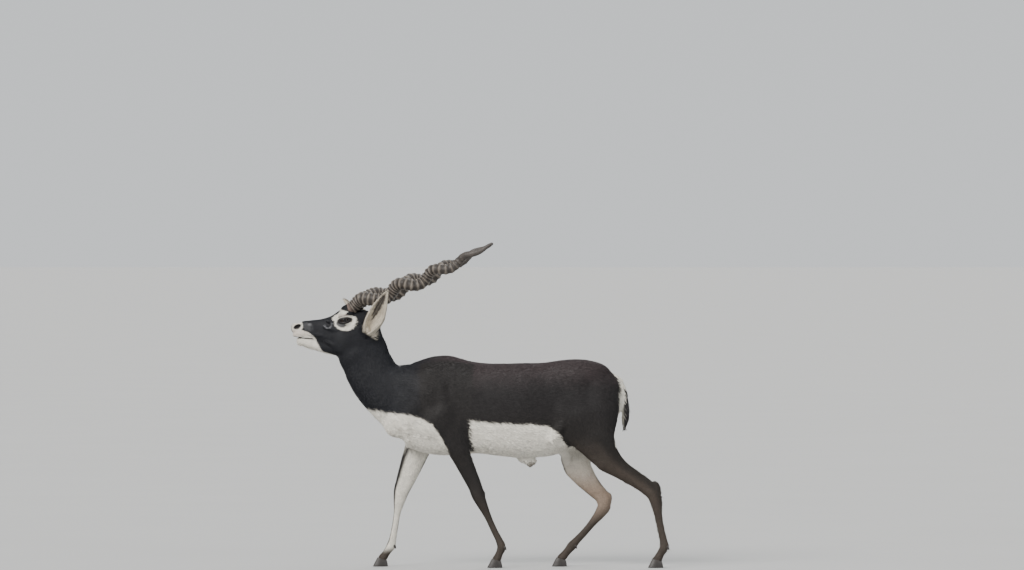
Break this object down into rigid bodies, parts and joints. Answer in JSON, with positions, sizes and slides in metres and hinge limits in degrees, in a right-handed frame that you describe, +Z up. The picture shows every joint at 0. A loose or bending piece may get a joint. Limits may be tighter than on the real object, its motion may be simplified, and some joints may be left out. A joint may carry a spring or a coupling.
{
  "type": "male blackbuck, life-size walking model",
  "caption": "Life-size still model of a male blackbuck walking with its nose raised, long ringed spiral horns swept back, standing on cloven hooves.",
  "frame": {"origin": "on the floor under the middle of the whole animal's bounding box", "axes": "+Z up, the animal faces -X, its left side is towards -Y"},
  "size_m": [1.3534, 0.3276, 1.1597],
  "materials": {
    "coat_head": "short dense hair",
    "coat_neck": "short dense hair",
    "coat_trunk": "short dense hair",
    "coat_tail": "short dense hair",
    "coat_ears": "short dense hair",
    "coat_legs": "short dense hair",
    "eye": "wet, glossy",
    "horn": "ringed horn, satin",
    "hoof": "smooth dark horn"
  },
  "bodies": {
    "root": {"head": "coat_head", "neck": "coat_neck", "trunk": "coat_trunk", "tail": "coat_tail", "ear_left": "coat_ears", "ear_right": "coat_ears", "foreleg_left": "coat_legs", "foreleg_right": "coat_legs", "hindleg_left": "coat_legs", "hindleg_right": "coat_legs", "eye_left": "eye", "horn_left": "horn", "hoof_foreleg_left_inner": "hoof", "dewclaw_foreleg_left_inner": "hoof", "hoof_foreleg_left_outer": "hoof", "dewclaw_foreleg_left_outer": "hoof", "hoof_hindleg_left_inner": "hoof", "dewclaw_hindleg_left_inner": "hoof", "hoof_hindleg_left_outer": "hoof", "dewclaw_hindleg_left_outer": "hoof", "eye_right": "eye", "horn_right": "horn", "hoof_foreleg_right_inner": "hoof", "dewclaw_foreleg_right_inner": "hoof", "hoof_foreleg_right_outer": "hoof", "dewclaw_foreleg_right_outer": "hoof", "hoof_hindleg_right_inner": "hoof", "dewclaw_hindleg_right_inner": "hoof", "hoof_hindleg_right_outer": "hoof", "dewclaw_hindleg_right_outer": "hoof"}
  },
  "joints": []
}
